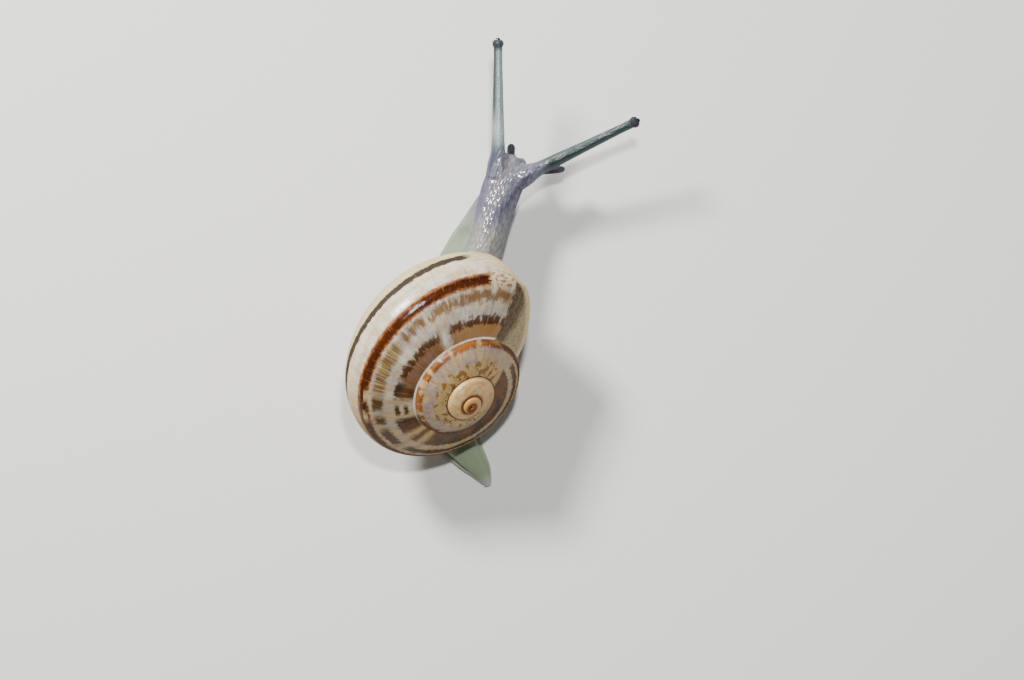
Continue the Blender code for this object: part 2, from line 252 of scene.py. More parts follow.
def grown(name, tree, start, given):
    """A plain mesh object made by a Geometry Nodes tree from a starting mesh."""
    seed = bpy.data.objects.new(name + "_seed", start)
    bpy.context.scene.collection.objects.link(seed)
    step = seed.modifiers.new("grow", "NODES")
    step.node_group = tree
    for socket in tree.interface.items_tree:
        if socket.in_out == "INPUT" and socket.name in given:
            step[socket.identifier] = given[socket.name]
    graph = bpy.context.evaluated_depsgraph_get()
    data = bpy.data.meshes.new_from_object(seed.evaluated_get(graph))
    bpy.data.objects.remove(seed)
    data.name = name
    if data.materials[0] is None:
        data.materials.pop(index=0)
    made = bpy.data.objects.new(name, data)
    bpy.context.scene.collection.objects.link(made)
    return made


def paint_from(red, green, blue):
    """A colour written in everyday 0 to 255 values, made linear."""
    tones = []
    for tone in (red, green, blue):
        share = tone / 255
        tones.append(share / 12.92 if share <= 0.04045 else ((share + 0.055) / 1.055) ** 2.4)
    return (*tones, 1.0)


def grain_group():
    """The uneven grain of shell, skin and eyes: one node group that each material places as it needs."""
    group = bpy.data.node_groups.new("grain", "ShaderNodeTree")
    group.interface.new_socket("Place", in_out="INPUT", socket_type="NodeSocketVector")
    for label, usual in (("Detail", 2.0), ("Unevenness", 0.5)):
        socket = group.interface.new_socket(label, in_out="INPUT", socket_type="NodeSocketFloat")
        socket.default_value = usual
    group.interface.new_socket("Grain", in_out="OUTPUT", socket_type="NodeSocketFloat")
    given = group.nodes.new("NodeGroupInput").outputs
    noise = group.nodes.new("ShaderNodeTexNoise")
    noise.inputs["Scale"].default_value = 1.0
    group.links.new(given["Place"], noise.inputs["Vector"])
    group.links.new(given["Detail"], noise.inputs["Detail"])
    group.links.new(given["Unevenness"], noise.inputs["Roughness"])
    group.links.new(noise.outputs[0], group.nodes.new("NodeGroupOutput").inputs["Grain"])
    return group


GRAIN = grain_group()


class Palette:
    """Short ways to add shader nodes to one material."""

    def __init__(self, name):
        self.material = bpy.data.materials.new(name)
        self.material.use_nodes = True
        self.tree = self.material.node_tree
        self.shader = self.tree.nodes["Principled BSDF"]
        self.maths = maths_in(self.tree)

    def link(self, source, target):
        self.tree.links.new(source, target)

    def settle(self, settings):
        """Sets the shader's sockets that are the same all over the surface."""
        for label, setting in settings.items():
            self.shader.inputs[label].default_value = setting

    def read(self, name):
        """A reading that the mesh carries at its points."""
        node = self.tree.nodes.new("ShaderNodeAttribute")
        node.attribute_name = name
        return node.outputs["Fac"]

    def vector(self, x, y, z):
        node = self.tree.nodes.new("ShaderNodeCombineXYZ")
        for place, term in zip(node.inputs, (x, y, z)):
            if isinstance(term, (int, float)):
                place.default_value = term
            else:
                self.link(term, place)
        return node.outputs[0]

    def grain(self, place, detail=2.0, unevenness=0.5):
        node = self.tree.nodes.new("ShaderNodeGroup")
        node.node_tree = GRAIN
        node.inputs["Detail"].default_value = detail
        node.inputs["Unevenness"].default_value = unevenness
        self.link(place, node.inputs["Place"])
        return node.outputs["Grain"]

    def rise(self, reading, low, high):
        """0 below low, 1 above high, smooth between; high may be the lower of the two."""
        node = self.tree.nodes.new("ShaderNodeMapRange")
        node.interpolation_type = "SMOOTHSTEP"
        self.link(reading, node.inputs["Value"])
        for label, end in (("From Min", low), ("From Max", high)):
            node.inputs[label].default_value = end
        return node.outputs[0]

    def stripe(self, reading, middle, half, soft):
        """1 on a stripe round a middle value, with soft edges."""
        off = self.maths("ABSOLUTE", self.maths("SUBTRACT", reading, middle))
        return self.rise(off, half + soft, half - soft)

    def lay(self, below, above, *masks):
        """One colour laid over another where the masks allow it: nodes' colours, or 0 to 255 values."""
        share = product(self.maths, *masks)
        node = self.tree.nodes.new("ShaderNodeMix")
        node.data_type = "RGBA"
        for label, term in (("A", below), ("B", above)):
            place = [s for s in node.inputs if s.name == label and s.type == "RGBA"][0]
            if isinstance(term, tuple):
                place.default_value = paint_from(*term)
            else:
                self.link(term, place)
        factor = [s for s in node.inputs if s.name == "Factor" and s.type == "VALUE"][0]
        self.link(share, factor)
        return [s for s in node.outputs if s.type == "RGBA"][0]

    def bump(self, height, strength, distance, under=None):
        node = self.tree.nodes.new("ShaderNodeBump")
        node.inputs["Strength"].default_value = strength
        node.inputs["Distance"].default_value = distance
        self.link(height, node.inputs["Height"])
        if under is not None:
            self.link(under, node.inputs["Normal"])
        return node.outputs[0]


# White streaks across the whorl before the last: where each lies on the coil, and half its width.
WHITE_STREAKS = (
    (-6.66, 0.03),
    (-7.20, 0.04),
    (-7.75, 0.03),
    (-8.25, 0.04),
    (-8.52, 0.08),
    (-9.22, 0.05),
    (-10.1, 0.10),
)


def shell_finish():
    """Chalky cream with spiral brown bands, broken and worn across the lines of growth.

    A mark's girdle says where it lies round the tube, from 0 on its outer side to 2.2 at the seam.
    Its turn says where it lies along the coil, in radians back from the lip.
    """
    paint = Palette("shell_banded_chalk")
    maths = paint.maths
    turn = paint.read("turn")
    girdle = paint.read("girdle")
    to_lip = paint.read("to_lip")

    def grain(turns, girdles, seed, detail=2.0):
        place = paint.vector(maths("MULTIPLY", turn, turns), maths("MULTIPLY", girdle, girdles), seed)
        return paint.grain(place, detail, 0.6)

    def speck(reading, level, soft=0.05):
        return paint.rise(reading, level - soft, level + soft)

    # Readings shared by the markings. The seam's girdle falls slowly towards the lip.
    growth = maths("MULTIPLY", turn, maths("ADD", GROWTH, maths("MULTIPLY", turn, EARLY_GROWTH)))
    seam_drift = maths("SUBTRACT", maths("MULTIPLY", turn, 0.00012), 0.0178)
    seam = maths("ADD", SEAM_AT_LIP, maths("MULTIPLY", turn, seam_drift))
    below_seam = maths("SUBTRACT", seam, girdle)
    from_seam = product(maths, below_seam, maths("EXPONENT", growth), SEAM_SCALE)
    ragged = maths("SUBTRACT", grain(22, 13, 1.3, 4.0), 0.5)
    lines = grain(72, 2.2, 4.7)
    streaks = grain(11, 2.2, 2.9, 4.0)
    cloud = grain(3.4, 4.2, 8.8, 4.0)
    body_whorl = paint.rise(to_lip, -6.32, -6.2)
    older = maths("SUBTRACT", 1, body_whorl)
    first_whorls = paint.rise(to_lip, -11.2, -12.3)
    turn_worn = maths("ADD", turn, maths("MULTIPLY", ragged, 0.14))

    def band(low, high, wear=0.10, soft=0.02):
        """1 on a spiral band between two girdles, with worn edges."""
        off = maths("ABSOLUTE", maths("SUBTRACT", girdle, (low + high) / 2))
        depth = maths("SUBTRACT", (high - low) / 2, off)
        return paint.rise(maths("ADD", depth, maths("MULTIPLY", ragged, wear)), -soft, soft)

    def spell(start, end, soft=0.06):
        """1 on a stretch of the coil between two turns."""
        return paint.stripe(turn_worn, (start + end) / 2, (end - start) / 2, soft)

    def any_of(*masks):
        most = masks[0]
        for mask in masks[1:]:
            most = maths("MAXIMUM", most, mask)
        return most

    def none_of(*masks):
        return maths("SUBTRACT", 1, any_of(*masks))

    # Chalk: whiter in front, cream at the back and low on the side, greyer near the spire.
    chalk = paint.lay((214, 208, 194), (196, 180, 146), speck(cloud, 0.54, 0.14))
    chalk = paint.lay(chalk, (180, 146, 78), paint.rise(turn, -1.6, -3.6), 0.8)
    chalk = paint.lay(chalk, (204, 184, 128), paint.rise(girdle, 0.95, 0.3), 0.8)
    clouded = speck(grain(7, 6, 11.5, 4.0), 0.49, 0.10)
    chalk = paint.lay(chalk, (150, 143, 146), clouded, band(1.5, 1.98, 0.1, 0.08), 0.62)
    stained = speck(streaks, 0.52, 0.12)
    chalk = paint.lay(chalk, (160, 116, 56), stained, band(0.9, 2.3, 0.2, 0.2), 0.42)
    slant = maths("MULTIPLY", maths("ADD", girdle, maths("MULTIPLY", turn, 0.5)), 24)
    scratches = speck(paint.grain(paint.vector(maths("MULTIPLY", turn, 1.4), slant, 0.4), 3.0), 0.60)
    scratched = product(maths, scratches, band(0.6, 1.2), spell(-1.9, -0.7, 0.2))
    colour = paint.lay(chalk, (190, 160, 104), scratched, 0.5)

    # Fourth band, next to the seam: gold glass over a dark edge in front, brown blotches behind.
    unbroken = none_of(spell(-1.52, -1.40))
    gold = product(maths, band(2.0, 2.5, 0.10, 0.04), spell(-2.35, -0.56), body_whorl, unbroken)
    gold_tone = paint.lay((108, 56, 2), (156, 102, 26), paint.rise(turn, -1.75, -1.2))
    gold_tone = paint.lay(gold_tone, (92, 48, 4), speck(lines, 0.55, 0.12), 0.45)
    colour = paint.lay(colour, gold_tone, gold, 0.85)
    dark_edge = product(maths, band(1.935, 2.05, 0.22, 0.03), spell(-2.3, -0.56), body_whorl)
    dark_edge = product(maths, dark_edge, none_of(spell(-1.52, -1.38)), speck(streaks, 0.40, 0.06))
    colour = paint.lay(colour, (68, 34, 0), dark_edge, 0.93)
    blotches = any_of(spell(-2.62, -2.34), spell(-3.34, -3.0), spell(-3.60, -3.46), spell(-6.4, -3.72, 0.1))
    blotches = product(maths, band(1.93, 2.5, 0.14, 0.03), blotches, body_whorl)
    eyelet = product(maths, any_of(band(1.96, 2.04), band(2.10, 2.17)), spell(-2.92, -2.74), body_whorl)
    blotch_tone = paint.lay((36, 18, 0), (94, 50, 0), speck(cloud, 0.5, 0.12))
    colour = paint.lay(colour, blotch_tone, any_of(blotches, eyelet), 0.94)

    # Third band: thin dashes in front, an olive smear, then separate olive spots.
    dashes = product(maths, band(1.63, 1.76, 0.20, 0.04), spell(-1.9, -0.6), speck(streaks, 0.44, 0.08))
    colour = paint.lay(colour, (104, 66, 10), dashes, body_whorl, 0.85)
    smear = product(maths, band(1.63, 1.80, 0.14, 0.04), spell(-2.6, -1.95, 0.08), body_whorl)
    smear_tone = paint.lay((84, 58, 8), (150, 124, 66), speck(lines, 0.52, 0.12))
    colour = paint.lay(colour, smear_tone, smear, 0.85)
    spots = any_of(spell(-2.82, -2.64), spell(-3.06, -2.92), spell(-3.5, -3.14), spell(-6.3, -3.62))
    spots = product(maths, band(1.65, 1.79, 0.16, 0.03), spots, body_whorl)
    colour = paint.lay(colour, (68, 42, 0), spots, 0.94)

    # Second band, the strongest: a maroon core between orange edges, which stops short of the lip.
    strong = product(maths, paint.rise(turn_worn, -0.82, -0.88), body_whorl)
    orange_tone = paint.lay((122, 56, 4), (160, 94, 20), speck(streaks, 0.5, 0.1))
    colour = paint.lay(colour, orange_tone, band(1.20, 1.58, 0.10, 0.03), strong, 0.92)
    core = product(maths, band(1.27, 1.56, 0.16, 0.05), strong, speck(lines, 0.28, 0.10))
    core_tone = paint.lay((30, 4, 4), (54, 18, 2), paint.rise(turn, -0.9, -1.7))
    core_tone = paint.lay(core_tone, (80, 32, 3), speck(cloud, 0.54, 0.1), 0.6)
    colour = paint.lay(colour, core_tone, core, 0.96)
    low_gap = product(maths, spell(-2.98, -2.88), band(1.36, 1.54))
    high_gap = product(maths, spell(-2.70, -2.60), band(1.44, 1.62))
    colour = paint.lay(colour, (200, 176, 132), any_of(low_gap, high_gap), body_whorl, 0.85)

    # First band, thin and dark, low on the side; fine bands run round the under side.
    first = product(maths, band(0.36, 0.60, 0.18, 0.03), paint.rise(turn_worn, -0.88, -1.0), body_whorl)
    colour = paint.lay(colour, (32, 14, 0), first, 0.98)
    rounds = maths("FRACT", maths("MULTIPLY", maths("ADD", girdle, maths("MULTIPLY", ragged, 0.06)), 2.6))
    fine_bands = product(maths, paint.stripe(rounds, 0.5, 0.13, 0.08), paint.rise(girdle, 0.1, -0.15))
    colour = paint.lay(colour, (136, 90, 34), fine_bands, speck(streaks, 0.42, 0.08), 0.7)

    # Whorl before the last: orange blocks outside, grey in the middle, brown mottles inside.
    inner_whorl = product(maths, older, maths("SUBTRACT", 1, first_whorls))
    parted = none_of(*(spell(middle - half, middle + half, 0.03) for middle, half in WHITE_STREAKS))
    blocks = product(maths, band(0.7, 1.62, 0.14, 0.04), speck(grain(5.5, 1.1, 3.1, 3.0), 0.40, 0.04), parted)
    block_tone = paint.lay((142, 72, 2), (92, 46, 4), speck(cloud, 0.5, 0.1))
    colour = paint.lay(colour, block_tone, blocks, inner_whorl, 0.9)
    greyed = product(maths, band(1.6, 1.94, 0.2, 0.06), speck(grain(9, 6, 13.6, 4.0), 0.51, 0.04))
    colour = paint.lay(colour, (134, 122, 130), greyed, inner_whorl, 0.65)
    mottled = product(maths, band(1.92, 2.5, 0.16, 0.04), speck(grain(5.5, 4.0, 8.1, 3.0), 0.535))
    mottle_tone = paint.lay((128, 84, 22), (82, 42, 4), speck(cloud, 0.58, 0.06))
    colour = paint.lay(colour, mottle_tone, mottled, inner_whorl, 0.85)

    # The first whorls are buff, darker towards the tip.
    buff = paint.lay((212, 182, 130), (192, 146, 84), speck(cloud, 0.52, 0.16))
    buff = paint.lay(buff, (196, 144, 78), paint.rise(to_lip, -17.5, -20.0))
    colour = paint.lay(colour, buff, first_whorls)

    # Seam: a brown line round the older whorls, a white thread along the front of the last one.
    def seam_line(wear, low, high):
        return paint.rise(maths("ADD", from_seam, maths("MULTIPLY", ragged, wear)), low, high)

    colour = paint.lay(colour, (86, 44, 10), seam_line(0.10, 0.15, 0.07), older, 0.92)
    colour = paint.lay(colour, (108, 50, 6), paint.rise(from_seam, 0.36, 0.14), first_whorls, 0.92)
    in_front = paint.rise(turn, -3.4, -2.4)
    colour = paint.lay(colour, (250, 247, 240), seam_line(0.12, 0.19, 0.13), body_whorl, in_front)
    brown_thread = product(maths, paint.rise(from_seam, 0.13, 0.06), body_whorl, paint.rise(turn, -2.6, -3.4))
    colour = paint.lay(colour, (110, 66, 22), brown_thread, 0.85)

    # New growth behind the lip: mottled, then an olive zone, then the thin cream edge.
    new_growth = product(maths, paint.rise(turn_worn, -0.88, -0.82), band(1.1, 1.62, 0.1, 0.06), body_whorl)
    blots = speck(grain(16, 9, 6.1, 4.0), 0.52, 0.06)
    mottle = paint.lay((208, 196, 164), (140, 92, 34), blots)
    colour = paint.lay(colour, mottle, new_growth, 0.85)
    olive = product(maths, paint.rise(turn_worn, -0.61, -0.57), paint.rise(girdle, 1.15, 1.4), body_whorl)
    painted_highlight_dots = speck(grain(60, 26, 17.3), 0.5, 0.12)
    olive_tone = paint.lay((58, 42, 18), (96, 76, 44), painted_highlight_dots)
    pale_tone = paint.lay((138, 120, 84), (164, 148, 112), painted_highlight_dots)
    olive_tone = paint.lay(olive_tone, pale_tone, paint.rise(turn_worn, -0.47, -0.34))
    colour = paint.lay(colour, olive_tone, olive, 0.92)
    colour = paint.lay(colour, (204, 182, 136), paint.rise(to_lip, -0.10, -0.03), body_whorl)

    # Fine growth lines cross everything, and the inner face of the wall is plain buff.
    colour = paint.lay(colour, (52, 34, 16), paint.rise(lines, 0.52, 0.34), 0.2)
    colour = paint.lay(colour, (240, 226, 196), paint.rise(lines, 0.58, 0.74), 0.09)
    colour = paint.lay(colour, (190, 168, 132), paint.read("inside"), 0.7)
    paint.link(colour, paint.shader.inputs["Base Color"])

    paint.settle({
        "Roughness": 0.4,
        "Specular IOR Level": 0.0,
        "Coat Weight": 0.11,
        "Coat IOR": 3.4,
        "Coat Roughness": 0.13,
        "Subsurface Weight": 0.03,
        "Subsurface Radius": (1.0, 0.7, 0.4),
        "Subsurface Scale": 0.2 * MM,
    })
    wide_relief = paint.bump(streaks, 0.3, 0.05 * MM)
    pitted = paint.bump(grain(34, 24, 5.2, 3.0), 0.6, 0.02 * MM, wide_relief)
    lined = paint.bump(lines, 0.35, 0.03 * MM, pitted)
    paint.link(lined, paint.shader.inputs["Normal"])
    paint.link(lined, paint.shader.inputs["Coat Normal"])
    return paint.material


# The axis of the coil leans back and to the right, and the mouth faces forward and down.
APEX = Vector((0.782, -5.374, 9.0)) * MM
AXIS_BEARING = radians(-53.74)
AXIS_LEAN = radians(51.40)
MOUTH_TURN = radians(81.07)
SHELL_POSE = (
    Matrix.Translation(APEX)
    @ Matrix.Rotation(AXIS_BEARING, 4, "Z")
    @ Matrix.Rotation(AXIS_LEAN, 4, "Y")
    @ Matrix.Rotation(MOUTH_TURN, 4, "Z")
)
shell = grown("shell_coil", shell_tree(), bpy.data.meshes.new("start"), {"Material": shell_finish()})
shell.data.transform(SHELL_POSE)
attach(shell, "root")
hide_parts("shell")


# ---- Skin: foot, body, head and tentacles ----
# One soft wet skin over muscle, without a seam. It is drawn over the solids of the flesh, which are
# swelled until their cuts close, skinned as one and smoothed. Rows of small tubercles cover it.

FLESH = (
    "tail", "foot_rear", "foot_middle", "foot_front", "back", "trunk", "neck", "head", "mantle_collar",
    "tentacle_left_lower", "tentacle_left_upper", "tentacle_left_tip",
    "tentacle_right_lower", "tentacle_right_upper", "tentacle_right_tip",
    "feeler_left", "feeler_right",
)
SWELL = 0.05 * MM
WELD = 0.002 * MM
VOXEL = 0.052 * MM
SKIN_TRIANGLES = 190000
EYE_CORE = 0.92


def with_modifier(data, kind, group=None, **settings):
    """A new mesh: this one with a single modifier applied, by shares in tenths if there is a group."""
    holder = bpy.data.objects.new("holder", data)
    bpy.context.scene.collection.objects.link(holder)
    if group is not None:
        weights = holder.vertex_groups.new(name="chosen")
        for level in range(11):
            members = np.flatnonzero(np.rint(group * 10) == level).tolist()
            weights.add(members, level / 10, "REPLACE")
    step = holder.modifiers.new("step", kind)
    for label, setting in settings.items():
        setattr(step, label, setting)
    graph = bpy.context.evaluated_depsgraph_get()
    made = bpy.data.meshes.new_from_object(holder.evaluated_get(graph))
    bpy.data.objects.remove(holder)
    return made


def eye_place(side):
    """Middle and radius of an eye."""
    low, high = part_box("eye_" + side)
    return (Vector(low) + Vector(high)) / 2, (high[0] - low[0]) / 2


def add_ball(form, centre, radius, around, rings):
    place = Matrix.Translation(centre)
    bmesh.ops.create_uvsphere(form, u_segments=around, v_segments=rings, radius=radius, matrix=place)


def skin_draft():
    """The flesh solids, swelled and remeshed into one surface, with the eye sockets filled."""
    dough = bmesh.new()
    for name in FLESH:
        lump = bmesh.new()
        lump.from_mesh(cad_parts[name].data)
        bmesh.ops.remove_doubles(lump, verts=lump.verts[:], dist=WELD)
        lump.normal_update()
        for vert, way in [(vert, vert.normal.copy()) for vert in lump.verts]:
            vert.co += way * SWELL
        swollen = bpy.data.meshes.new("lump")
        lump.to_mesh(swollen)
        lump.free()
        dough.from_mesh(swollen)
        bpy.data.meshes.remove(swollen)
    for side in ("left", "right"):
        centre, radius = eye_place(side)
        add_ball(dough, centre, radius * EYE_CORE, 24, 16)
    data = bpy.data.meshes.new("dough")
    dough.to_mesh(data)
    dough.free()
    return with_modifier(data, "REMESH", mode="VOXEL", voxel_size=VOXEL)


def read_points(mesh, field="co"):
    points = np.empty(len(mesh.vertices) * 3)
    mesh.vertices.foreach_get(field, points)
    return points.reshape(-1, 3)


def write_points(mesh, points):
    mesh.vertices.foreach_set("co", points.ravel())
    mesh.update()


def relax(mesh, rounds, share=None, push=0.51):
    """Each round pulls points together, then pushes them out again by the push so that nothing shrinks."""
    edges = np.empty(len(mesh.edges) * 2, dtype=int)
    mesh.edges.foreach_get("vertices", edges)
    edges = edges.reshape(-1, 2)
    points = read_points(mesh)
    if share is None:
        share = np.ones(len(points))
    edges = edges[(share[edges] > 0).any(axis=1)]
    count = np.maximum(np.bincount(edges.ravel(), minlength=len(points)), 1)[:, None]
    for _ in range(rounds):
        for pull in (0.5, -push):
            sums = np.empty_like(points)
            for axis in range(3):
                sums[:, axis] = np.bincount(edges[:, 0], points[edges[:, 1], axis], len(points))
                sums[:, axis] += np.bincount(edges[:, 1], points[edges[:, 0], axis], len(points))
            points = points + pull * share[:, None] * (sums / count - points)
    write_points(mesh, points)


# The line under the middle of the back, from tail to snout, across and along, in millimetres.
SPINE = (
    (1.7, -10.0),
    (0.3, -7.6),
    (-1.1, -3.9),
    (-1.3, -1.4),
    (-0.1, 3.0),
    (1.1, 5.4),
    (1.76, 7.2),
    (2.1, 8.75),
    (2.55, 10.1),
    (3.6, 12.6),
)
spine_curve = np.polyfit([y for _, y in SPINE], [x for x, _ in SPINE], 6)


def step_between(values, low, high):
    """0 below low, 1 above high, smooth between."""
    share = np.clip((values - low) / (high - low), 0, 1)
    return share * share * (3 - 2 * share)


def tentacle_line(side):
    """Start and end of an upper tentacle's middle line, in millimetres."""
    root_length = 2.4
    eye = sum((Vector(corner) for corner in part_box("eye_" + side)), Vector()) / 2 / MM
    lower = sum((Vector(corner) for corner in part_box(f"tentacle_{side}_lower")), Vector()) / 2 / MM
    way = (eye - lower).normalized()
    return np.array(lower - way * root_length), np.array(eye)


def drop_crumbs(mesh):
    """Deletes the small closed pockets left inside the flesh, and keeps the skin itself."""
    sheet = bmesh.new()
    sheet.from_mesh(mesh)
    unseen = set(sheet.verts)
    islands = []
    while unseen:
        island = [unseen.pop()]
        for vert in island:
            for edge in vert.link_edges:
                other = edge.other_vert(vert)
                if other in unseen:
                    unseen.remove(other)
                    island.append(other)
        islands.append(island)
    islands.sort(key=len)
    crumbs = [vert for island in islands[:-1] for vert in island]
    bmesh.ops.delete(sheet, geom=crumbs, context="VERTS")
    sheet.to_mesh(mesh)
    sheet.free()


# How far each upper tentacle's dark core lies off its middle, as a share of its half thickness.
CORE_OFF = {"left": 0.8, "right": -0.1}


def measure(mesh):
    """Writes where each point lies: along and aside of the spine, and how far out on a tentacle."""
    points = read_points(mesh) / MM
    slope = np.polyval(np.polyder(spine_curve), points[:, 1])
    off = points[:, 0] - np.polyval(spine_curve, points[:, 1])
    along = points[:, 1] + off * slope / (1 + slope**2)
    turned = np.polyval(np.polyder(spine_curve), along)
    aside = (points[:, 0] - np.polyval(spine_curve, along)) * np.sqrt(1 + turned**2)
    limb = np.zeros(len(points))
    out = np.zeros(len(points))
    flank = np.zeros(len(points))
    for side, core in CORE_OFF.items():
        # A point is on the tentacle within 0.75 of its line, and off it beyond 1.
        start, end = tentacle_line(side)
        length = np.linalg.norm(end - start)
        way = (end - start) / length
        reach = (points - start) @ way
        beside = points - start - reach[:, None] * way
        wide = np.linalg.norm(beside, axis=1)
        near = 1 - step_between(wide, 0.75, 1.0)
        limb = np.maximum(limb, near * step_between(reach, 0.5, 2.0))
        out = np.maximum(out, near * np.clip(reach / length, 0, 1.1))
        across = np.array((way[1], -way[0], 0)) / np.hypot(way[0], way[1])
        flank = np.where(near > 0.5, beside @ across / np.maximum(wide, 0.1) + core, flank)
    readings = {"along": along, "aside": aside, "limb": limb, "out": out, "flank": flank}
    for name, values in readings.items():
        mesh.attributes.new(name, "FLOAT", "POINT").data.foreach_set("value", values.astype(np.float32))
    return points, readings


def soften_joins(mesh, points, readings):
    """Smooths where parts of the flesh run together: the tentacle roots and the front of the foot."""
    y = points[:, 1]
    z = points[:, 2]
    # The crown of the head and the tentacles' roots.
    root = readings["limb"] * (1 - step_between(readings["out"], 0.24, 0.34))
    crown = step_between(y, 8.6, 9.6) * (1 - readings["limb"]) + root
    relax(mesh, 40, crown * step_between(z, 3.0, 3.6))
    # The bend where each tentacle leaves the head.
    join = np.zeros(len(points))
    for side in ("left", "right"):
        start, end = tentacle_line(side)
        bend = start + (end - start) / np.linalg.norm(end - start) * 1.1
        join = np.maximum(join, 1 - step_between(np.linalg.norm(points - bend, axis=1), 0.7, 1.3))
    relax(mesh, 70, join, 0.0)
    # The front of the foot, above the sole.
    foot_nose = step_between(y, 6.4, 7.3) * (1 - step_between(y, 8.9, 9.8)) * (1 - step_between(z, 2.0, 2.8))
    relax(mesh, 110, foot_nose * step_between(z, 0.02, 0.3), 0.0)


def gap_to(name, points):
    """How far each point is from a solid, in millimetres."""
    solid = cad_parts[name].data
    corners = [vert.co for vert in solid.vertices]
    surface = BVHTree.FromPolygons(corners, [face.vertices[:] for face in solid.polygons])
    return np.array([surface.find_nearest(point)[3] for point in points * MM]) / MM


def spare_share(points, limb):
    """How freely each point may be thinned out: least on the head and the tentacles."""
    gap = gap_to("shell", points)
    spare = np.full(len(points), 0.6)
    spare[(points[:, 1] > 5.0) & (points[:, 2] > 1.2)] = 0.3
    spare[limb > 0.2] = 0.3
    # The sole and what lies against the shell are seen least.
    spare[(points[:, 2] < 0.12) | (gap < 0.22)] = 1.0
    return spare


def mark_near(mesh, points, label, names, reach):
    """Marks the points that lie on some of the flesh solids, so that they can have their own colour."""
    mark = np.zeros(len(points))
    for name in names:
        mark = np.maximum(mark, 1 - step_between(gap_to(name, points), reach / 2, reach))
    mesh.attributes.new(label, "FLOAT", "POINT").data.foreach_set("value", mark.astype(np.float32))


def tubercle_cells(tree, maths, along, aside, limb, place):
    """Small raised cells: in rows on the body, coarse low on its sides, fine on the tentacles."""
    apart = tree.nodes.new("ShaderNodeSeparateXYZ")
    tree.links.new(place, apart.inputs[0])
    high = maths("MULTIPLY", apart.outputs["Z"], 1 / MM)

    def cells(x, y, z, randomness):
        spot = tree.nodes.new("ShaderNodeCombineXYZ")
        for socket, term in zip(spot.inputs, (x, y, z)):
            tree.links.new(term, socket)
        voronoi = tree.nodes.new("ShaderNodeTexVoronoi")
        voronoi.inputs["Scale"].default_value = 1.0
        voronoi.inputs["Randomness"].default_value = randomness
        tree.links.new(spot.outputs[0], voronoi.inputs["Vector"])
        dome = tree.nodes.new("ShaderNodeMapRange")
        dome.interpolation_type = "SMOOTHSTEP"
        dome.inputs["From Min"].default_value = 0.78
        dome.inputs["From Max"].default_value = 0.12
        tree.links.new(voronoi.outputs["Distance"], dome.inputs["Value"])
        return dome.outputs[0]

    def times(reading, count):
        return maths("MULTIPLY", reading, count)

    # The rows waver a little, as they do on soft skin.
    ripple = tree.nodes.new("ShaderNodeTexNoise")
    ripple.inputs["Scale"].default_value = 1.1 / MM
    tree.links.new(place, ripple.inputs["Vector"])
    waver = maths("MULTIPLY", maths("SUBTRACT", ripple.outputs[0], 0.5), 0.3)
    wavering = maths("ADD", aside, waver)
    rows = cells(times(along, 2.2), times(wavering, 5.6), times(high, 2.6), 0.75)
    coarse = cells(times(along, 2.4), times(wavering, 2.8), times(high, 2.8), 1.0)
    grains = cells(*(times(apart.outputs[axis], 8.5 / MM) for axis in "XYZ"), 0.95)
    # From here down the coarse cells take over.
    low = tree.nodes.new("ShaderNodeMapRange")
    low.inputs["From Min"].default_value = 3.4
    low.inputs["From Max"].default_value = 1.8
    tree.links.new(high, low.inputs["Value"])
    body = maths("ADD", rows, maths("MULTIPLY", maths("SUBTRACT", coarse, rows), low.outputs[0]))
    return maths("ADD", body, maths("MULTIPLY", maths("SUBTRACT", grains, body), limb))


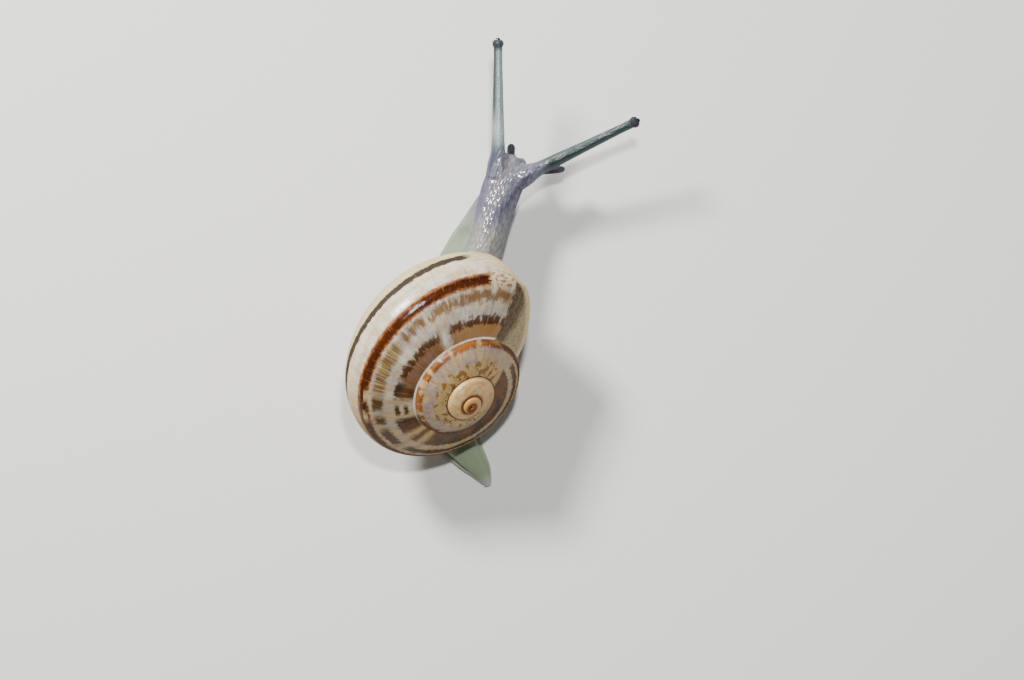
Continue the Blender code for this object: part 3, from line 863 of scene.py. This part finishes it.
def tubercle_tree():
    """Geometry Nodes that raise the skin into its tubercles."""
    tree = bpy.data.node_groups.new("raise_tubercles", "GeometryNodeTree")
    tree.interface.new_socket("Skin", in_out="OUTPUT", socket_type="NodeSocketGeometry")
    tree.interface.new_socket("Smooth Skin", in_out="INPUT", socket_type="NodeSocketGeometry")
    for label in ("Body Height", "Limb Height"):
        tree.interface.new_socket(label, in_out="INPUT", socket_type="NodeSocketFloat")
    tree.interface.new_socket("Material", in_out="INPUT", socket_type="NodeSocketMaterial")
    given = tree.nodes.new("NodeGroupInput").outputs
    maths = maths_in(tree)
    readings = {}
    for name in ("along", "aside", "limb", "feeler"):
        node = tree.nodes.new("GeometryNodeInputNamedAttribute")
        node.data_type = "FLOAT"
        node.inputs["Name"].default_value = name
        readings[name] = node.outputs["Attribute"]
    place = tree.nodes.new("GeometryNodeInputPosition").outputs[0]
    height = tubercle_cells(tree, maths, readings["along"], readings["aside"], readings["limb"], place)
    smoother = maths("MAXIMUM", readings["limb"], readings["feeler"])
    less = maths("MULTIPLY", smoother, maths("SUBTRACT", given["Limb Height"], given["Body Height"]))
    apart = tree.nodes.new("ShaderNodeSeparateXYZ")
    tree.links.new(place, apart.inputs[0])
    fringe = tree.nodes.new("ShaderNodeMapRange")
    fringe.inputs["From Min"].default_value = 1.0 * MM
    fringe.inputs["From Max"].default_value = 2.8 * MM
    fringe.inputs["To Min"].default_value = 0.1
    tree.links.new(apart.outputs["Z"], fringe.inputs["Value"])
    lift = maths("MULTIPLY", maths("SUBTRACT", height, 1.0), maths("ADD", given["Body Height"], less))
    lift = maths("MULTIPLY", lift, fringe.outputs[0])
    scale = tree.nodes.new("ShaderNodeVectorMath")
    scale.operation = "SCALE"
    tree.links.new(tree.nodes.new("GeometryNodeInputNormal").outputs[0], scale.inputs[0])
    tree.links.new(lift, scale.inputs["Scale"])
    move = tree.nodes.new("GeometryNodeSetPosition")
    tree.links.new(given["Smooth Skin"], move.inputs["Geometry"])
    tree.links.new(scale.outputs[0], move.inputs["Offset"])
    realize = tree.nodes.new("GeometryNodeRealizeInstances")
    tree.links.new(move.outputs[0], realize.inputs[0])
    paint = tree.nodes.new("GeometryNodeSetMaterial")
    tree.links.new(realize.outputs[0], paint.inputs["Geometry"])
    tree.links.new(given["Material"], paint.inputs["Material"])
    tree.links.new(paint.outputs[0], tree.nodes.new("NodeGroupOutput").inputs["Skin"])
    return tree


def skin_finish():
    """Wet grey skin: lavender neck with two dark streaks, paler towards the shell and on the foot."""
    paint = Palette("wet_skin")
    maths = paint.maths
    place = paint.tree.nodes.new("ShaderNodeTexCoord").outputs["Object"]
    along = paint.read("along")
    aside = paint.read("aside")
    limb = paint.read("limb")
    out = paint.read("out")
    flank = paint.read("flank")
    cells = tubercle_cells(paint.tree, maths, along, aside, limb, place)
    apart = paint.tree.nodes.new("ShaderNodeSeparateXYZ")
    paint.link(place, apart.inputs[0])
    high = maths("MULTIPLY", apart.outputs["Z"], 1 / MM)

    def skin_grain(lengthwise, across, upwards):
        """Grain that is finer in a direction where its number is larger."""
        spot = paint.vector(
            maths("MULTIPLY", along, lengthwise),
            maths("MULTIPLY", aside, across),
            maths("MULTIPLY", high, upwards),
        )
        return paint.grain(spot, 3.0)

    # Back and neck: beige grey by the shell, lavender grey towards the head.
    cloudy = skin_grain(1.2, 2.0, 1.0)
    beige = paint.lay((162, 154, 144), (132, 134, 132), cloudy)
    lavender = paint.lay((134, 132, 142), (106, 108, 122), cloudy)
    ragged = maths("ADD", along, maths("MULTIPLY", cloudy, 0.7))
    body = paint.lay(beige, lavender, paint.rise(ragged, 7.0, 9.4))
    streak_tone = paint.lay((66, 68, 92), (90, 92, 114), cloudy)
    right_course = maths("ADD", 0.2, maths("MULTIPLY", maths("SUBTRACT", along, 8.2), 0.42))
    right_streak = paint.stripe(aside, right_course, 0.24, 0.30)
    left_streak = paint.stripe(aside, -1.15, 0.25, 0.30)
    streaks = product(maths, maths("MAXIMUM", right_streak, left_streak), paint.rise(ragged, 7.2, 9.4))
    body = paint.lay(body, streak_tone, streaks, paint.rise(high, 2.4, 4.0), 0.8)
    middle = product(maths, paint.stripe(aside, 0.0, 0.25, 0.3), paint.rise(along, 8.6, 9.6))
    body = paint.lay(body, (158, 148, 148), middle, 0.5)

    # Foot: a smooth pale grey fringe whose green tint is partly painted light, as from a leaf below; paler
    # along the edge and at the tip of the tail.
    fringe = paint.lay((140, 150, 130), (120, 132, 114), cloudy)
    body = paint.lay(body, fringe, paint.rise(high, 2.7, 1.3), paint.rise(along, 9.8, 7.8))
    on_tail = paint.rise(along, -5.0, -6.6)
    # The tail's tone carries the same tint: its own pale grey, plus painted green light as from a leaf.
    body = paint.lay(body, (132, 144, 118), on_tail)
    body = paint.lay(body, (170, 178, 160), paint.rise(high, 0.6, 0.2), on_tail, 0.7)
    body = paint.lay(body, (176, 176, 172), paint.rise(along, -9.2, -10.0), 0.8)

    # Tentacles: dark along the middle; the right one darker as painted shade; the left one paler, with a row
    # of painted highlight dots and a painted highlight along its lower part. Dark knobs.
    # Painted shade: the right tentacle gets a darker tone than the left.
    shaded_right_tentacle = paint.rise(maths("MULTIPLY", apart.outputs["X"], 1 / MM), 2.9, 3.8)
    highlit_left_tentacle = maths("SUBTRACT", 1, shaded_right_tentacle)
    tentacle_tone_and_painted_light = paint.lay((136, 158, 156), (68, 86, 82), shaded_right_tentacle)
    tentacle_tone_and_painted_light = paint.lay(tentacle_tone_and_painted_light, (26, 36, 40), paint.stripe(flank, 0.0, 0.42, 0.30), 0.85)
    # Painted highlights on the left tentacle: a row of bright dots along one side, and a pale stretch along
    # its lower part.
    painted_highlight_dots = product(maths, paint.stripe(flank, 0.9, 0.12, 0.12), paint.rise(cells, 0.3, 0.7), highlit_left_tentacle)
    tentacle_tone_and_painted_light = paint.lay(tentacle_tone_and_painted_light, (214, 230, 230), painted_highlight_dots, 0.8)
    tentacle_tone_and_painted_light = paint.lay(tentacle_tone_and_painted_light, (196, 208, 208), paint.stripe(out, 0.28, 0.10, 0.14), highlit_left_tentacle, 0.5)
    colour = paint.lay(body, tentacle_tone_and_painted_light, limb)
    # Painted shade: the grooves between the tubercles are darkened, less on the tentacles and fading out low
    # on the body.
    depth = maths("SUBTRACT", 0.46, maths("MULTIPLY", limb, 0.26))
    groove_shade = product(maths, maths("SUBTRACT", 1, cells), depth, paint.rise(high, 1.0, 2.6))
    colour = paint.lay(colour, (46, 48, 66), groove_shade)
    knob = paint.lay((52, 54, 66), (34, 36, 46), cloudy)
    colour = paint.lay(colour, knob, paint.rise(out, 0.90, 0.96), 0.9)
    colour = paint.lay(colour, (54, 52, 60), paint.read("feeler"), 0.8)

    # Collar: buff, speckled with brown.
    speckled = paint.grain(paint.vector(*(maths("MULTIPLY", apart.outputs[axis], 5 / MM) for axis in "XYZ")))
    collar = paint.lay((160, 148, 122), (112, 100, 82), paint.rise(speckled, 0.4, 0.6))
    colour = paint.lay(colour, collar, paint.read("collar"))
    paint.link(colour, paint.shader.inputs["Base Color"])
    paint.settle({
        "Roughness": 0.4,
        "Specular IOR Level": 0.0,
        "Coat Weight": 0.18,
        "Coat IOR": 2.7,
        "Coat Roughness": 0.09,
        "Subsurface Weight": 0.2,
        "Subsurface Radius": (1.0, 0.8, 0.7),
        "Subsurface Scale": 0.25 * MM,
    })

    # Relief: domed tubercles above, and fine wrinkles across the smooth fringe below.
    domed = maths("ADD", 0.15, maths("MULTIPLY", paint.rise(high, 1.2, 2.8), 0.85))
    wrinkles = product(maths, skin_grain(7, 0.8, 0.7), maths("SUBTRACT", 1, domed), 1.2)
    raised = paint.bump(maths("ADD", product(maths, cells, domed), wrinkles), 0.5, 0.035 * MM)
    paint.link(raised, paint.shader.inputs["Normal"])
    paint.link(raised, paint.shader.inputs["Coat Normal"])
    return paint.material


draft = skin_draft()
relax(draft, 14)
write_points(draft, read_points(draft) - read_points(draft, "normal") * SWELL)
skin_points, skin_readings = measure(draft)
mark_near(draft, skin_points, "collar", ("mantle_collar",), 0.14)
mark_near(draft, skin_points, "feeler", ("feeler_left", "feeler_right"), 0.3)
soften_joins(draft, skin_points, skin_readings)
spare = spare_share(skin_points, skin_readings["limb"])
heights = {"Body Height": 0.02 * MM, "Limb Height": 0.007 * MM}
skin = grown("skin", tubercle_tree(), draft, {**heights, "Material": skin_finish()})
thin_out = {"decimate_type": "COLLAPSE", "ratio": SKIN_TRIANGLES / (2 * len(skin.data.polygons))}
skin.data = with_modifier(skin.data, "DECIMATE", group=spare, vertex_group="chosen", **thin_out)
skin.data.name = "skin"
drop_crumbs(skin.data)
skin.data.shade_smooth()
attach(skin, "root")
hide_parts(*FLESH)


# ---- Eyes ----
# A small black eye sits in the rounded end of each upper tentacle, under clear wet skin that bulges
# over it like a lens.

EYE_BULGE = 0.12
BULGE_EDGE = 0.4


def eye_finish():
    """Black with a faint brown mottle under a clear wet lens."""
    paint = Palette("eye_black")
    place = paint.tree.nodes.new("ShaderNodeTexCoord").outputs["Object"]
    fine = paint.tree.nodes.new("ShaderNodeVectorMath")
    fine.operation = "SCALE"
    fine.inputs["Scale"].default_value = 24 / MM
    paint.link(place, fine.inputs[0])
    mottle = paint.rise(paint.grain(fine.outputs[0]), 0.45, 0.65)
    black = paint.lay((9, 9, 13), (30, 24, 22), mottle)
    paint.link(black, paint.shader.inputs["Base Color"])
    paint.settle({"Roughness": 0.12, "Coat Weight": 1.0, "Coat Roughness": 0.03})
    return paint.material


eye_paint = eye_finish()
for side in ("left", "right"):
    centre, radius = eye_place(side)
    start, end = tentacle_line(side)
    way = Vector(end - start).normalized()
    ball = bmesh.new()
    add_ball(ball, centre, radius, 40, 24)
    for vert in ball.verts:
        ahead = (vert.co - centre).normalized().dot(way)
        vert.co += way * radius * EYE_BULGE * max(ahead - BULGE_EDGE, 0)
    data = bpy.data.meshes.new("eyeball_" + side)
    ball.to_mesh(data)
    ball.free()
    data.shade_smooth()
    data.materials.append(eye_paint)
    eyeball = bpy.data.objects.new("eyeball_" + side, data)
    bpy.context.scene.collection.objects.link(eyeball)
    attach(eyeball, "root")
    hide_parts("eye_" + side)


# ---- Floor, lights and camera ----
# A plain pale floor under soft studio light: a large key lamp from the front left, a smaller one
# high above for the highlights, and a weak fill. The camera looks down from nearly overhead.

FLOOR_REACH = 600 * MM
LIT_SPOT = Vector((0, 0, 3)) * MM
data = bpy.data.meshes.new("floor")
corners = [(x, y, 0.0) for x, y in ((-1, -1), (1, -1), (1, 1), (-1, 1))]
data.from_pydata([Vector(corner) * FLOOR_REACH for corner in corners], [], [(0, 1, 2, 3)])
floor = bpy.data.objects.new("floor", data)
bpy.context.scene.collection.objects.link(floor)
floor_paint = Palette("pale_floor")
floor_paint.settle({"Base Color": paint_from(222, 222, 220), "Roughness": 0.7})
data.materials.append(floor_paint.material)


def soft_light(name, place, size, power, colour):
    """A round area lamp, placed and sized in millimetres, that shines on the snail."""
    lamp = bpy.data.lights.new(name, "AREA")
    lamp.shape = "DISK"
    lamp.size = size * MM
    lamp.energy = power
    lamp.color = colour
    light = bpy.data.objects.new(name, lamp)
    light.location = Vector(place) * MM
    light.rotation_euler = (LIT_SPOT - light.location).to_track_quat("-Z", "Y").to_euler()
    bpy.context.scene.collection.objects.link(light)


soft_light("key_light", (-100, 110, 140), 44, 0.80, (1.0, 0.98, 0.95))
soft_light("camera_light", (10, 28, 210), 14, 0.36, (1.0, 0.99, 0.97))
soft_light("fill_light", (160, -60, 120), 160, 0.02, (0.93, 0.97, 1.0))
sky = bpy.data.worlds.new("studio")
sky.use_nodes = True
sky.node_tree.nodes["Background"].inputs["Color"].default_value = (0.85, 0.90, 0.95, 1.0)
sky.node_tree.nodes["Background"].inputs["Strength"].default_value = 0.13
bpy.context.scene.world = sky

ELEVATION = radians(84)
DISTANCE = 236
camera_up = Vector((0, sin(ELEVATION), cos(ELEVATION)))
camera_back = Vector((0, -cos(ELEVATION), sin(ELEVATION)))
aim = Vector((3.425, 0, 0)) + camera_up * 0.342
lens = bpy.data.cameras.new("camera")
lens.sensor_width = 36
lens.lens = 118.0
lens.clip_start = 0.005
camera = bpy.data.objects.new("camera", lens)
camera.location = (aim + camera_back * DISTANCE) * MM
camera.rotation_euler = (radians(90) - ELEVATION, 0, 0)
bpy.context.scene.collection.objects.link(camera)
bpy.context.scene.camera = camera
